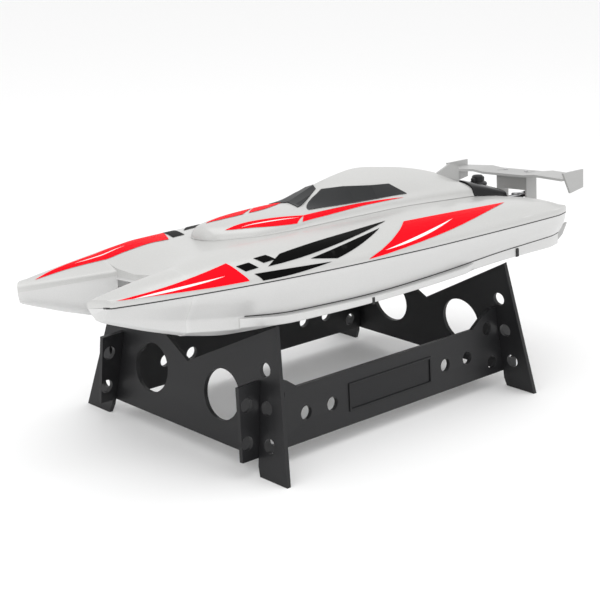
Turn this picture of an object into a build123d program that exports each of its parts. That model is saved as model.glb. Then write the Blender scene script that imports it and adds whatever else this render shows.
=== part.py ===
"""Radio-controlled catamaran racing boat, resting in its interlocking display stand.

Everything on the boat is drawn in the boat's own frame: X forward, Y to port, Z up, with Z = 0 at
the datum plane just under the deck seam.  At the end the finished pieces are moved together into
their place in the cradle, where the boat lies a few degrees over to starboard.
"""
import os
from math import cos, radians, sin

from build123d import *

os.makedirs("parts", exist_ok=True)

# ---------------------------------------------------------------- driving dimensions (mm)
# boat
bow_x = 228.0            # inner tips of the two bows
transom_x = -184.0       # flat stern
tunnel_x = 165.0         # where the deck closes the gap between the bows
skin = 1.8               # moulded wall of hull and deck
lip = 4.5                # upright edge of the deck above the seam
boat_roll = 4.5          # degrees the boat lies over in its cradle
boat_shift = 7.0         # how far the keel line sits to port of the stand's middle
datum_height = 105.8     # boat datum above the floor

# hatch
hatch_front = 112.0
hatch_gap = 0.4          # play between hatch rim and deck
hatch_skin = 1.6
window_thickness = 0.6

rim_width = 6.4          # width of the deck ledge that the hatch rim covers
opening_rear = -156.0    # rear end of the hatch opening; the tail behind it is solid
knob_x = -171.0
knob_radius = 5.0
knob_stem = 2.5
knob_seat = 25.0         # height of the flat that the knob turns on
knob_drop = 8.5
knob_tab = 9.0

# wing
wing_front = -202.0
wing_rear = -227.0
wing_half_span = 56.5
wing_thickness = 1.8
plate_thickness = 1.6    # end plates, wing support and tail panels
strut_y = 14.0
strut_front = -213.0

# drive line, inclined down towards the stern
drive_slope = 8.0        # degrees, down towards the stern
drive_x = -40.0          # rear face of the motor
drive_z = 13.0           # height of the drive line there
motor_radius = 13.0
motor_length = 36.0
shaft_radius = 1.6
shaft_start = 14.5
shaft_end = 165.0
tube_radius = 3.0
tube_start = 20.0        # distances aft of the motor's rear face
tube_end = 146.0
coupling_length = 16.0
coupling_radius = 4.0
propeller_radius = 12.0
propeller_at = 158.0
hub_radius = 3.5
blade_count = 3

# steering
rudder_x = -218.0
rudder_bottom = -33.0
bracket_z = 9.0
bracket_height = 3.5
pin_radius = 1.5
running_gap = 0.06       # radial play of shafts and pins
horn_reach = 9.0
horn_z = 13.0            # underside of tiller and servo horn
horn_thickness = 1.9
link_pin = 0.8
servo_x = -124.0
servo_y = 2 * horn_reach
servo_size = (23.0, 12.0, 14.0)

# stand
plate = 3.0
plate_play = 0.8
front_plate_x = 123.8    # foot of the front cross plate on the floor
rear_plate_x = -126.2    # foot of the rear cross plate
front_lean = 6.8         # degrees, top leans aft
rear_lean = 7.7          # degrees, top leans forward
side_plate_y = 74.1      # foot line of the side plates
side_lean = 4.8          # degrees, top leans inward
foot_outer = 102.9
foot_inner = 78.0
foot_rise = 11.3         # clear height under the plates
plate_top = 97.0
plate_top_y = 79.4
front_notch = 56.0       # bottom of the V cradles
rear_notch = 52.5
side_tab = 13.0          # how far the side plates reach past the cross plates
side_waist = 49.4        # top edge of the side plates between their ends
side_shoulder = 61.0     # top edge of the side plates at their ends
joint_height = 35.0      # where the half-lap slots of crossing plates meet

seal_height = 2.0
link_z = 15.8            # centreline of the pushrod
grommet_radius = 2.4
wing_seat = 31.0         # underside of the wing over its support
trim_tab_y = 56.0

# electrics
tray_floor = 8.5
battery_size = (70.0, 31.5, 17.0)
battery_x = 50.0
strap_width = 14.0
strap_thickness = 1.2
tray_base = 1.5
tray_length = 80.0
tray_wall_height = 8.0
switch_x = -90.0
switch_y = 14.0
switch_travel = 4.0

# holes and label frame of the stand
large_hole = 17.0
small_hole = 4.8
cross_holes = [(73.4, 68.0), (78.2, 44.4), (83.8, 21.5)]
side_holes = [(80.0, 30.0), (55.9, 30.0), (103.0, 46.8), (108.0, 20.5), (130.9, 47.5), (132.2, 23.0)]
label_size = (83.0, 19.5)
label_height = 30.4
label_rim = 1.6

# outlines, (x, z) from the side or (y, z) from astern
wing_line = [(0.0, wing_seat), (20.0, wing_seat), (30.0, wing_seat + 1.2), (wing_half_span, wing_seat - 0.2)]
end_plate_outline = [(-202.0, 37.0), (-227.8, 37.0), (-227.8, 23.0), (-211.0, 20.5)]
windshield_outline = [(31.0, 0.0), (33.5, 8.0), (34.5, 13.0), (9.0, 5.0), (6.5, 0.0)]
side_window_outline = [(31.0, 41.8), (6.0, 51.0), (-10.0, 51.0), (-34.0, 48.6), (-53.0, 47.0), (-66.0, 38.6)]
fin_outline = [(-112.0, 40.0), (-138.0, 49.0), (-148.0, 45.5), (-148.0, 30.0)]
tail_panel_outline = [(-150.0, 24.0), (-150.0, 28.8), (-179.0, 22.2), (-179.0, 19.0)]
trim_tab_outline = [
    (transom_x, -5.0), (transom_x, -16.0), (-193.0, -15.0), (-202.0, -10.0), (-208.0, -1.5), (-200.0, -4.5),
]

# inclined axis of motor, shaft and propeller, positive aft from the motor's rear face
drive_line = Plane(
    origin=(drive_x, 0, drive_z), x_dir=(0, 1, 0),
    z_dir=(-cos(radians(drive_slope)), 0, -sin(radians(drive_slope))),
)
# planes of the leaning stand plates, local y up the plate
front_plane = Plane(
    origin=(front_plate_x, 0, 0), x_dir=(0, 1, 0),
    z_dir=(cos(radians(front_lean)), 0, sin(radians(front_lean))),
)
rear_plane = Plane(
    origin=(rear_plate_x, 0, 0), x_dir=(0, 1, 0),
    z_dir=(cos(radians(rear_lean)), 0, -sin(radians(rear_lean))),
)
side_planes = {
    side: Plane(
        origin=(0, sign * side_plate_y, 0), x_dir=(-1, 0, 0),
        z_dir=(0, cos(radians(side_lean)), sign * sin(radians(side_lean))),
    )
    for side, sign in (("port", 1), ("starboard", -1))
}

# ---------------------------------------------------------------- hull lines
# x, half beam, seam z, seam z on the centreline, strake top, strake foot, keel z, tunnel roof z
hull_stations = [
    (-184.0, 74.0, 12.0, 12.0, -5.0, -13.0, -20.0, -5.0),
    (-168.0, 78.0, 12.0, 12.0, -5.2, -12.9, -20.3, -5.0),
    (-120.0, 78.8, 12.0, 12.0, -6.0, -12.5, -21.0, -5.0),
    (-40.0, 77.6, 12.0, 12.0, -10.0, -15.5, -22.0, -4.0),
    (30.0, 73.0, 12.0, 12.0, -12.5, -18.0, -22.5, -1.0),
    (85.0, 67.2, 12.2, 12.4, -12.0, -18.5, -22.5, 3.0),
    (129.0, 61.8, 12.8, 13.6, -8.0, -15.5, -20.5, 9.0),
    (165.0, 56.5, 13.5, 16.5, -3.5, -11.0, -14.0, 14.0),
]
# x, half beam, seam z, inner seam z, inner wall y, strake top, strake foot, keel y, keel z
bow_stations = [
    (165.0, 56.5, 13.5, 16.5, 17.6, -3.5, -11.0, 42.0, -14.0),
    (190.0, 52.3, 14.0, 15.8, 24.8, 1.5, -3.5, 42.0, -6.0),
    (212.0, 47.9, 14.6, 15.2, 31.2, 7.5, 4.5, 42.0, 2.0),
    (228.0, 44.4, 15.0, 15.0, 36.0, 11.5, 10.0, 41.0, 8.0),
]
# x, half beam, deck height on the centreline, at 3/8, at 5/8 and at 7/8 of the half beam, seam, mid seam
deck_stations = [
    (-184.0, 74.0, 19.0, 19.0, 18.8, 17.5, 12.0, 12.0),
    (-168.0, 78.0, 23.0, 23.0, 22.5, 20.5, 12.0, 12.0),
    (-120.0, 78.8, 29.5, 29.0, 28.0, 24.5, 12.0, 12.0),
    (-40.0, 77.6, 34.0, 33.0, 31.5, 27.0, 12.0, 12.0),
    (30.0, 73.0, 34.0, 33.0, 31.5, 27.5, 12.0, 12.0),
    (85.0, 67.2, 33.5, 32.5, 31.8, 28.3, 12.2, 12.4),
    (129.0, 61.8, 30.5, 31.5, 32.0, 28.0, 12.8, 13.6),
    (150.0, 58.7, 25.0, 27.5, 30.5, 27.0, 13.2, 15.3),
    (165.0, 56.5, 19.3, 21.2, 28.5, 26.0, 13.5, 16.5),
]
# x, half beam, inner edge y, deck height at the inner edge, crown y, crown z, z at 7/8 beam, seams
bow_deck_stations = [
    (165.0, 56.5, 17.6, 19.5, 35.3, 28.5, 26.0, 13.5, 16.5),
    (190.0, 52.3, 24.8, 19.2, 36.5, 26.0, 23.6, 14.0, 15.8),
    (212.0, 47.9, 31.2, 18.9, 38.0, 23.0, 21.5, 14.6, 15.2),
    (228.0, 44.4, 36.0, 18.6, 38.2, 20.3, 20.0, 15.0, 15.0),
]
# x, half widths at the rim, shoulder, canopy foot and roof edge, their heights, then the roof's height
hatch_stations = [
    (112.0, 5.5, 4.8, 3.6, 1.8, 28.0, 36.0, 38.5, 39.5, 40.0),
    (100.0, 18.5, 16.0, 10.5, 5.0, 26.0, 35.5, 40.0, 42.0, 42.5),
    (80.0, 27.5, 24.5, 15.5, 8.0, 25.0, 36.0, 41.0, 43.0, 43.5),
    (50.0, 31.0, 28.0, 18.5, 9.0, 24.0, 37.0, 41.5, 43.6, 44.0),
    (32.0, 31.2, 28.2, 19.5, 8.0, 24.0, 37.5, 41.5, 43.8, 44.2),
    (6.0, 31.2, 28.2, 21.0, 7.0, 24.0, 37.5, 41.0, 51.2, 52.8),
    (-12.0, 31.0, 28.0, 21.5, 12.0, 24.0, 37.5, 40.5, 52.0, 57.0),
    (-34.0, 30.2, 27.2, 21.8, 15.5, 24.0, 37.0, 39.5, 49.5, 59.3),
    (-65.0, 28.4, 25.6, 21.0, 14.0, 24.0, 35.5, 38.0, 47.0, 56.2),
    (-92.0, 24.8, 22.2, 18.0, 11.5, 22.0, 34.0, 37.0, 43.5, 51.8),
    (-120.0, 20.0, 18.0, 14.5, 8.5, 20.0, 31.5, 34.5, 39.0, 44.8),
    (-148.0, 15.0, 13.5, 11.5, 7.5, 17.0, 28.5, 30.5, 32.5, 34.0),
    (-181.0, 9.0, 8.0, 6.5, 4.0, 13.0, 21.5, 23.0, 24.0, 24.5),
]
strake_inset = 8.0       # the side tucks in this much before the strake
keel_y = 44.0            # keel line of each hull
keel_flat = 10.0         # width of the flat inside the keel
tunnel_half = 19.0       # half width of the tunnel roof


def mirrored(half):
    """Close a half outline (from the centreline round to the centreline) with its mirror image."""
    return half + [(-y, z) for y, z in reversed(half) if y > 0.001]


def hull_outline(station, wall=0.0):
    """Section of the hull between the seam and the keels, drawn inside the wall."""
    x, beam, seam, mid_seam, strake_top, strake_foot, keel_z, roof = station
    return mirrored([
        (0.0, mid_seam + wall),
        (beam - wall, seam + wall),
        (beam - 2.0 - wall, seam - 9.0),
        (beam - strake_inset - wall, strake_top),
        (beam - strake_inset - wall, strake_foot + wall * 0.5),
        (keel_y, keel_z + wall),
        (keel_y - keel_flat, keel_z + 1.5 + wall),
        (tunnel_half + wall, roof + wall),
        (0.0, roof + wall),
    ])


def bow_outline(station, side, wall=0.0):
    """Section of one bow, drawn inside the wall; side is +1 for port."""
    x, beam, seam, inner_seam, inner_y, strake_top, strake_foot, keel, keel_z = station
    tuck = min(strake_inset, (beam - keel) * 0.6)
    half = [
        (inner_y + wall, inner_seam + wall),
        (beam - wall, seam + wall),
        (beam - 1.0 - wall, seam - 0.3 * (seam - strake_top)),
        (beam - tuck - wall * 0.5, strake_top),
        (beam - tuck - wall * 0.5, strake_foot + wall * 0.5),
        (keel, keel_z + wall),
        (inner_y + 2.0 + wall, keel_z + 0.25 * (inner_seam - keel_z) + wall * 0.5),
    ]
    return [(side * y, z) for y, z in half]


def deck_outline(station, wall=0.0):
    """Section of the deck above the seam, drawn inside the wall."""
    x, beam, mid, inner, outer, shoulder, seam, mid_seam = station
    return mirrored([
        (0.0, mid - wall),
        (beam * 3 / 8, inner - wall),
        (beam * 5 / 8, outer - wall),
        (beam * 7 / 8 - wall * 0.5, shoulder - wall),
        (beam - wall, seam + lip),
        (beam - wall, seam - max(wall, 0.0)),
        (0.0, mid_seam - max(wall, 0.0)),
    ])


def bow_deck_outline(station, side, wall=0.0):
    """Section of the deck over one bow, drawn inside the wall."""
    x, beam, inner_y, inner_z, crown_y, crown_z, shoulder, seam, inner_seam = station
    half = [
        (inner_y + wall, inner_seam - wall),
        (inner_y + wall, inner_z - wall),
        (crown_y, crown_z - wall),
        (beam * 7 / 8 - wall * 0.5, shoulder - wall),
        (beam - wall, seam + lip),
        (beam - wall, seam - wall),
    ]
    return [(side * y, z) for y, z in half]


def hatch_outline(station, grow=0.0, foot=None):
    """Section of the hatch and canopy, drawn outside (grow > 0) or inside (grow < 0) its surface."""
    x, rim, shoulder, base, roof_edge, rim_z, shoulder_z, base_z, edge_z, roof_z = station
    floor_z = rim_z - 0.5 if foot is None else foot
    return mirrored([
        (0.0, roof_z + grow),
        (roof_edge + grow * 0.5, edge_z + grow),
        (base + grow * 0.7, base_z + grow * 0.7),
        (shoulder + grow, shoulder_z),
        (rim + grow, rim_z),
        (rim + grow, floor_z),
        (0.0, floor_z),
    ])


def section(x, points):
    """Flat face across the boat at x with the given outline."""
    with BuildSketch(Plane.YZ.offset(x)) as outline:
        with BuildLine():
            Polyline(*points, close=True)
        make_face()
    return outline.sketch.faces()[0]


def bays(stations, start=None, end=None):
    """Pairs of neighbouring stations between start and end, which are added where they are missing."""
    low = stations[0][0] if start is None else start
    high = stations[-1][0] if end is None else end
    inside = [s for s in stations if min(low, high) < s[0] < max(low, high)]
    chosen = [between(stations, low)] + inside + [between(stations, high)]
    return zip(chosen, chosen[1:])


def between(stations, x):
    """Straight-line station between the listed ones."""
    for low, high in zip(stations, stations[1:]):
        near, far = sorted((low, high))
        if near[0] <= x <= far[0]:
            share = (x - near[0]) / (far[0] - near[0])
            return tuple(a + (b - a) * share for a, b in zip(near, far))
    raise ValueError(f"no station at {x}")


# ---------------------------------------------------------------- ground plans and plain bodies
def skew_cut():
    """Ground plan of what is cut off the slanting front of both bows."""
    with BuildSketch(Plane.XY.offset(-40.0)) as plan:
        with BuildLine():
            Polyline(
                (bow_x + 0.2, 35.8), (bow_x - 10.5, 47.5), (bow_x + 9.0, 60.0), (bow_x + 9.0, 30.0), close=True
            )
        make_face()
        mirror(about=Plane.XZ)
    return plan.sketch


def hatch_plan(inset):
    """Ground plan of the hatch rim, drawn inside it."""
    rims = [s[:2] for s in hatch_stations if s[0] > opening_rear]
    rims.append(between(hatch_stations, opening_rear)[:2])
    half = [(x, max(rim - inset, 1.0)) for x, rim in rims]
    half[0] = (half[0][0] - inset, half[0][1])
    half[-1] = (half[-1][0] + inset, half[-1][1])
    with BuildSketch(Plane.XY) as plan:
        with BuildLine():
            Polyline(*half, *[(x, -y) for x, y in reversed(half)], close=True)
        make_face()
    return plan.sketch


def ruled_body(stations, outline, start=None, end=None):
    """Solid through the stations, one straight-sided bay after another."""
    with BuildPart() as body:
        for near, far in bays(stations, start, end):
            loft([section(s[0], outline(s)) for s in (near, far)], ruled=True)
    return body.part


def bow_line(side, wall=0.0):
    return lambda station: bow_outline(station, side, wall)


def bow_deck_line(side, wall=0.0):
    return lambda station: bow_deck_outline(station, side, wall)


def deck_envelope(grow):
    """Everything under the deck's outer surface, raised by grow."""
    return ruled_body(deck_stations, lambda s: deck_outline(s, -grow))


def hatch_body(grow, foot=None, start=None, end=None):
    return ruled_body(hatch_stations, lambda s: hatch_outline(s, grow, foot), start, end)


# ---------------------------------------------------------------- hull and deck
with BuildPart() as hull_bottom:
    add(ruled_body(hull_stations, hull_outline))
    for side in (1, -1):
        add(ruled_body(bow_stations, bow_line(side)))
    cavity = ruled_body(hull_stations, lambda s: hull_outline(s, skin), transom_x + skin, tunnel_x - 18.0)
    add(cavity, mode=Mode.SUBTRACT)
    for side in (1, -1):
        add(ruled_body(bow_stations, bow_line(side, skin), end=bow_x - 8.0), mode=Mode.SUBTRACT)
    extrude(skew_cut(), amount=80.0, mode=Mode.SUBTRACT)
    # the stuffing tube leaves through the tunnel roof and the transom
    with Locations(drive_line.offset(tube_end / 2)):
        Cylinder(tube_radius, tube_end, mode=Mode.SUBTRACT)

with BuildPart() as deck_shell:
    add(deck_envelope(0.0))
    for side in (1, -1):
        add(ruled_body(bow_deck_stations, bow_deck_line(side)))
    cavity = ruled_body(deck_stations, lambda s: deck_outline(s, skin), transom_x + skin, tunnel_x - 6.0)
    add(cavity, mode=Mode.SUBTRACT)
    for side in (1, -1):
        add(ruled_body(bow_deck_stations, bow_deck_line(side, skin), end=bow_x - 9.0), mode=Mode.SUBTRACT)
    extrude(skew_cut(), amount=80.0, mode=Mode.SUBTRACT)
    extrude(hatch_plan(rim_width), amount=60.0, mode=Mode.SUBTRACT)
    # keyhole for the stem and the cross tab of the lock knob
    with Locations((knob_x, 0, knob_seat)):
        Cylinder(knob_stem + 0.4, 20.0, mode=Mode.SUBTRACT)
        Box(knob_tab + 1.0, 3.0, 20.0, mode=Mode.SUBTRACT)
    # way through the stern for the pushrod and its grommet
    with Locations((transom_x, horn_reach, link_z)):
        Cylinder(grommet_radius, 20.0, rotation=(0, 90, 0), mode=Mode.SUBTRACT)

# ---------------------------------------------------------------- hatch and what rides on it
with BuildPart() as canopy_hatch:
    add(hatch_body(0.0))
    add(hatch_body(-hatch_skin, 0.0, hatch_front - 3.0, opening_rear), mode=Mode.SUBTRACT)
    add(deck_envelope(hatch_gap), mode=Mode.SUBTRACT)
    with Locations((knob_x, 0, knob_seat)):
        Cylinder(knob_stem + running_gap, 30.0, mode=Mode.SUBTRACT)
        Cylinder(knob_radius + 0.6, 10.0, align=(Align.CENTER, Align.CENTER, Align.MIN), mode=Mode.SUBTRACT)

with BuildPart() as hatch_seal:
    extrude(hatch_plan(rim_width - 2.4), amount=60.0)
    extrude(hatch_plan(rim_width - 0.4), amount=60.0, mode=Mode.SUBTRACT)
    add(deck_envelope(seal_height), mode=Mode.INTERSECT)
    inner_face = hatch_body(-hatch_skin - hatch_gap, 0.0, hatch_front - 4.0, opening_rear + 1.0)
    add(inner_face, mode=Mode.INTERSECT)
    add(deck_envelope(0.0), mode=Mode.SUBTRACT)

window_shell = hatch_body(window_thickness) - hatch_body(0.0)

with BuildPart() as windshield:
    with BuildSketch(Plane.XY.offset(38.0)):
        with BuildLine():
            Polyline(*windshield_outline, close=True)
        make_face()
        mirror(about=Plane.XZ)
    extrude(amount=40.0)
    add(window_shell, mode=Mode.INTERSECT)

side_windows = {}
for name, side in (("port", 1), ("starboard", -1)):
    with BuildPart() as side_windows[name]:
        with BuildSketch(Plane.XZ):
            with BuildLine():
                Polyline(*side_window_outline, close=True)
            make_face()
        extrude(amount=-side * 40.0)
        add(window_shell, mode=Mode.INTERSECT)

with BuildPart() as dorsal_fin:
    with BuildSketch(Plane.XZ):
        with BuildLine():
            Polyline(*fin_outline, close=True)
        make_face()
    extrude(amount=plate_thickness / 2, both=True)
    add(hatch_body(0.0), mode=Mode.SUBTRACT)

tail_panels = {}
for name, side in (("port", 1), ("starboard", -1)):
    with BuildPart() as tail_panels[name]:
        with BuildSketch(Plane.XZ):
            with BuildLine():
                Polyline(*tail_panel_outline, close=True)
            make_face()
        extrude(amount=-side * 40.0)
        add(window_shell, mode=Mode.INTERSECT)
        add(deck_envelope(hatch_gap), mode=Mode.SUBTRACT)

with BuildPart() as lock_knob:
    with Locations((knob_x, 0, knob_seat + 0.2)):
        Cylinder(knob_radius, 2.0, align=(Align.CENTER, Align.CENTER, Align.MIN))
        Box(2 * knob_radius, 3.0, 9.0, align=(Align.CENTER, Align.CENTER, Align.MIN))
        Cylinder(knob_stem, knob_drop, align=(Align.CENTER, Align.CENTER, Align.MAX))
    with Locations((knob_x, 0, knob_seat - knob_drop)):
        Box(knob_tab, 2.0, 1.6, align=(Align.CENTER, Align.CENTER, Align.MIN))

# ---------------------------------------------------------------- wing
with BuildPart() as rear_wing:
    with BuildSketch(Plane.YZ.offset(wing_rear)):
        with BuildLine():
            upper = [(y, z + wing_thickness) for y, z in wing_line]
            Polyline(*wing_line, *reversed(upper), close=True)
        make_face()
        mirror(about=Plane.YZ)
    extrude(amount=wing_front - wing_rear)
    with Locations((strut_front - 6.0, strut_y, 30.0), (strut_front - 6.0, -strut_y, 30.0)):
        Box(10.0, plate_thickness + 0.2, 12.0, mode=Mode.SUBTRACT)

end_plates = {}
for name, side in (("port", 1), ("starboard", -1)):
    with BuildPart() as end_plates[name]:
        with BuildSketch(Plane.XZ.offset(-side * wing_half_span)):
            with BuildLine():
                Polyline(*end_plate_outline, close=True)
            make_face()
        extrude(amount=-side * plate_thickness)

with BuildPart() as wing_support:
    with BuildSketch(Plane.XZ):
        with BuildLine():
            Polyline(
                (transom_x, -4.0), (transom_x, 8.0), (strut_front, 10.0), (strut_front, wing_seat),
                (strut_front - 1.2, wing_seat), (strut_front - 1.2, wing_seat + 2.0),
                (strut_front - 10.8, wing_seat + 2.0), (strut_front - 10.8, wing_seat),
                (wing_rear + 1.0, wing_seat), (wing_rear + 1.0, 4.0), close=True,
            )
        make_face()
    extrude(amount=strut_y + plate_thickness / 2, both=True)
    with Locations((transom_x, 0, 0)):
        Box(200.0, 2 * strut_y - plate_thickness, 120.0, mode=Mode.SUBTRACT)
    with Locations((strut_front - plate_thickness / 2, 0, (wing_seat + 19.0) / 2)):
        Box(plate_thickness, 2 * strut_y - plate_thickness, wing_seat - 19.0)

trim_tabs = {}
for name, side in (("port", 1), ("starboard", -1)):
    with BuildPart() as trim_tabs[name]:
        with BuildSketch(Plane.XZ.offset(-side * trim_tab_y)):
            with BuildLine():
                Polyline(*trim_tab_outline, close=True)
            make_face()
        extrude(amount=1.0, both=True)

# ---------------------------------------------------------------- drive line
with BuildPart(drive_line) as motor_case:
    with Locations((0, 0, -motor_length / 2)):
        Cylinder(motor_radius, motor_length)
    with Locations((0, 0, 1.0)):
        Cylinder(5.0, 2.0)
    Cylinder(shaft_radius + running_gap, 4 * motor_length, mode=Mode.SUBTRACT)
    with Locations((0, 0, -motor_length / 2 - 1.0)):
        Cylinder(motor_radius - 2.0, motor_length - 2.0, mode=Mode.SUBTRACT)

with BuildPart(drive_line) as motor_endbell:
    with Locations((0, 0, -motor_length - 1.5)):
        Cylinder(motor_radius, 3.0)
        Cylinder(shaft_radius + running_gap, 3.0, mode=Mode.SUBTRACT)

with BuildPart(drive_line) as motor_rotor:
    with Locations((0, 0, -motor_length / 2 - 1.0)):
        Cylinder(motor_radius - 3.5, motor_length - 8.0)
    with Locations((0, 0, shaft_start - 1.0)):
        Cylinder(shaft_radius, motor_length + 16.0, align=(Align.CENTER, Align.CENTER, Align.MAX))

with BuildPart(drive_line) as motor_mount:
    with Locations((0, 0, 3.0)):
        Box(2 * motor_radius, 2 * motor_radius - 2.0, 1.5)
        Cylinder(5.0, 1.5, mode=Mode.SUBTRACT)

with BuildPart(drive_line) as shaft_coupling:
    with Locations((0, 0, 14.0)):
        Cylinder(coupling_radius, coupling_length - 4.0)
        Cylinder(shaft_radius, coupling_length, mode=Mode.SUBTRACT)

with BuildPart(drive_line) as propeller_shaft:
    with Locations((0, 0, shaft_start)):
        Cylinder(shaft_radius, shaft_end - shaft_start, align=(Align.CENTER, Align.CENTER, Align.MIN))

with BuildPart(drive_line) as stuffing_tube:
    with Locations((0, 0, (tube_start + tube_end) / 2)):
        Cylinder(tube_radius, tube_end - tube_start)
        Cylinder(shaft_radius + running_gap, tube_end, mode=Mode.SUBTRACT)

with BuildPart(drive_line) as propeller:
    with Locations((0, 0, propeller_at - 4.0)):
        Cylinder(hub_radius, 9.0)
    with Locations((0, 0, propeller_at - 4.0)):
        with PolarLocations(propeller_radius / 2 + 0.5, blade_count):
            Box(propeller_radius - 1.0, 1.2, 8.0, rotation=(35, 0, 0))
    with Locations((0, 0, propeller_at - 4.0)):
        Cylinder(shaft_radius, 30.0, mode=Mode.SUBTRACT)

with BuildPart(drive_line) as propeller_nut:
    with Locations((0, 0, propeller_at + 3.0)):
        Cylinder(hub_radius - 0.6, 4.0)
        Cylinder(shaft_radius, 4.0, mode=Mode.SUBTRACT)

# ---------------------------------------------------------------- steering
with BuildPart() as rudder_bracket:
    with Locations(((transom_x + rudder_x - 5.0) / 2, 0, bracket_z + bracket_height / 2)):
        Box(transom_x - rudder_x + 5.0, 8.0, bracket_height)
    with Locations((transom_x - 1.0, 0, bracket_z)):
        Box(2.0, 16.0, 6.0, align=(Align.CENTER, Align.CENTER, Align.CENTER))
    with Locations((rudder_x, 0, bracket_z)):
        Cylinder(pin_radius + running_gap, 20.0, mode=Mode.SUBTRACT)

with BuildPart() as rudder_pin:
    with Locations((rudder_x, 0, -8.0)):
        Cylinder(pin_radius, horn_z + horn_thickness + 8.0, align=(Align.CENTER, Align.CENTER, Align.MIN))

with BuildPart() as rudder_blade:
    with BuildSketch(Plane.XZ):
        with BuildLine():
            Polyline(
                (rudder_x + 7.0, bracket_z - 1.0), (rudder_x - 9.0, bracket_z - 1.0),
                (rudder_x - 6.0, rudder_bottom), (rudder_x + 4.0, rudder_bottom), close=True,
            )
        make_face()
    extrude(amount=2.0, both=True)
    with Locations((rudder_x, 0, -8.0)):
        Cylinder(pin_radius, 40.0, align=(Align.CENTER, Align.CENTER, Align.MIN), mode=Mode.SUBTRACT)


def horn(axis_x, axis_y, reach):
    """Arm on a vertical axis with a link pin at its tip."""
    with BuildPart() as arm:
        with Locations((axis_x, axis_y, horn_z + horn_thickness / 2)):
            Cylinder(3.2, horn_thickness)
        with Locations((axis_x, axis_y + reach / 2, horn_z + horn_thickness / 2)):
            Box(3.6, abs(reach), horn_thickness)
        with Locations((axis_x, axis_y + reach, horn_z)):
            Cylinder(1.8, horn_thickness, align=(Align.CENTER, Align.CENTER, Align.MIN))
            Cylinder(link_pin, 4.4, align=(Align.CENTER, Align.CENTER, Align.MIN))
        with Locations((axis_x, axis_y, horn_z)):
            Cylinder(pin_radius, 10.0, mode=Mode.SUBTRACT)
    return arm


tiller_arm = horn(rudder_x, 0.0, horn_reach)
servo_horn = horn(servo_x, servo_y, -horn_reach)

with BuildPart() as steering_servo:
    with Locations((servo_x + 6.0, servo_y, horn_z - 0.5)):
        Box(*servo_size, align=(Align.CENTER, Align.CENTER, Align.MAX))

with BuildPart() as servo_shaft:
    with Locations((servo_x, servo_y, horn_z - 0.5)):
        Cylinder(pin_radius, horn_thickness + 0.5, align=(Align.CENTER, Align.CENTER, Align.MIN))

with BuildPart() as pushrod:
    with Locations(((servo_x + rudder_x) / 2, horn_reach, link_z)):
        Cylinder(0.9, servo_x - rudder_x - 5.0, rotation=(0, 90, 0))
    with Locations((servo_x, horn_reach, link_z), (rudder_x, horn_reach, link_z)):
        Box(6.0, 7.0, 1.2)
        Box(2.6, 5.0, 4.0, mode=Mode.SUBTRACT)

with BuildPart() as pushrod_grommet:
    with Locations((transom_x + skin / 2, horn_reach, link_z)):
        Cylinder(grommet_radius, skin, rotation=(0, 90, 0))
        Cylinder(0.9 + 2 * running_gap, skin, rotation=(0, 90, 0), mode=Mode.SUBTRACT)

# ---------------------------------------------------------------- electrics
with BuildPart() as battery_tray:
    tray_wall_y = tunnel_half - tray_base / 2
    with Locations((battery_x, 0, tray_floor)):
        Box(tray_length, 2 * tunnel_half, tray_base, align=(Align.CENTER, Align.CENTER, Align.MIN))
    with Locations((battery_x, tray_wall_y, tray_floor), (battery_x, -tray_wall_y, tray_floor)):
        Box(tray_length, tray_base, tray_wall_height, align=(Align.CENTER, Align.CENTER, Align.MIN))

with BuildPart() as battery_pack:
    with Locations((battery_x, 0, tray_floor + tray_base)):
        Box(*battery_size, align=(Align.CENTER, Align.CENTER, Align.MIN))
    fillet(battery_pack.edges().filter_by(Axis.X), 2.0)

with BuildPart() as battery_strap:
    with Locations((battery_x, 0, tray_floor + tray_base)):
        Box(
            strap_width, battery_size[1] + 2 * strap_thickness, battery_size[2] + strap_thickness,
            align=(Align.CENTER, Align.CENTER, Align.MIN),
        )
        Box(
            strap_width, battery_size[1], battery_size[2],
            align=(Align.CENTER, Align.CENTER, Align.MIN), mode=Mode.SUBTRACT,
        )

with BuildPart() as receiver_box:
    with Locations((-85.0, -24.0, -1.0)):
        Box(46.0, 24.0, 15.0, align=(Align.CENTER, Align.CENTER, Align.MIN))
    fillet(receiver_box.edges().filter_by(Axis.Z), 1.5)

with BuildPart() as power_switch:
    with Locations((switch_x, switch_y, -1.0)):
        Box(19.0, 7.0, 11.0, align=(Align.CENTER, Align.CENTER, Align.MIN))
    with Locations((switch_x, switch_y, 10.0)):
        Box(9.0, 3.4, 3.0, align=(Align.CENTER, Align.CENTER, Align.MAX), mode=Mode.SUBTRACT)

with BuildPart() as switch_slider:
    with Locations((switch_x - switch_travel / 2, switch_y, 7.2)):
        Box(4.0, 3.0, 5.3, align=(Align.CENTER, Align.CENTER, Align.MIN))

# ---------------------------------------------------------------- fasteners
with BuildPart() as servo_screws:
    with Locations(*[(servo_x + 6.0 + dx, servo_y + 3.5, horn_z - 0.5) for dx in (-9.0, 9.0)]):
        Cylinder(1.4, 1.2, align=(Align.CENTER, Align.CENTER, Align.MIN))

with BuildPart(drive_line) as motor_screws:
    with Locations((0, 8.5, 3.75), (0, -8.5, 3.75)):
        Cylinder(1.8, 1.5, align=(Align.CENTER, Align.CENTER, Align.MIN))

with BuildPart() as wing_screws:
    with Locations((strut_front - 6.0, strut_y - 4.0, 0), (strut_front - 6.0, 4.0 - strut_y, 0)):
        with Locations((0, 0, wing_seat + wing_thickness)):
            Cylinder(1.6, 0.8, align=(Align.CENTER, Align.CENTER, Align.MIN))


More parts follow.
